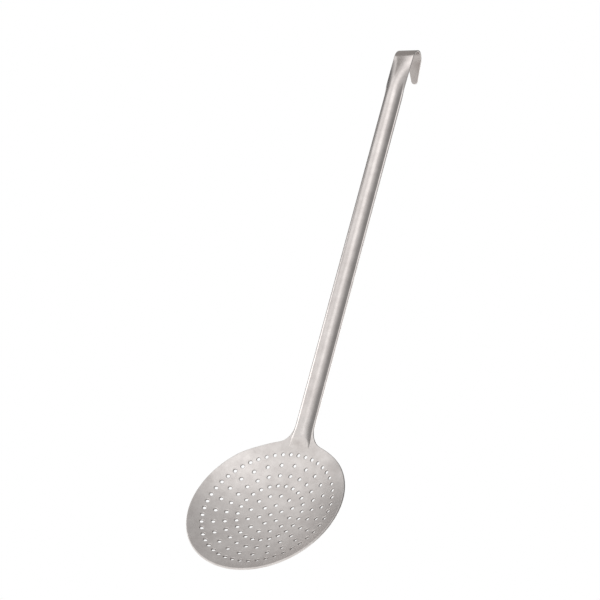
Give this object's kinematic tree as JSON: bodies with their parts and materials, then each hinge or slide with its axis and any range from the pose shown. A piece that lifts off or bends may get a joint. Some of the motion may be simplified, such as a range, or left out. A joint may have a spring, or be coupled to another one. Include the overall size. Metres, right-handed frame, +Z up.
{
  "type": "skimmer",
  "caption": "Long-handled kitchen skimmer of stainless sheet: a shallow round dish with punched holes, a straight ridged handle strip and a bent hook to hang it by.",
  "frame": {"origin": "inside crown of the hook, where a rail bears when the skimmer hangs", "axes": "+Z up along the handle, the hollow of the dish faces -Y, +X to the right seen from the hollow side"},
  "size_m": [0.1604, 0.1075, 0.5914],
  "materials": {
    "satin_stainless": "satin stainless sheet with a fine tumbled grain, a little brighter on bent edges",
    "weld_bead": "cleaned weld bead, duller than the sheet"
  },
  "bodies": {
    "root": {"strainer_dish": "satin_stainless", "handle_strip": "satin_stainless", "hanging_hook": "satin_stainless", "neck_weld": "weld_bead", "hook_weld": "weld_bead"}
  },
  "joints": []
}
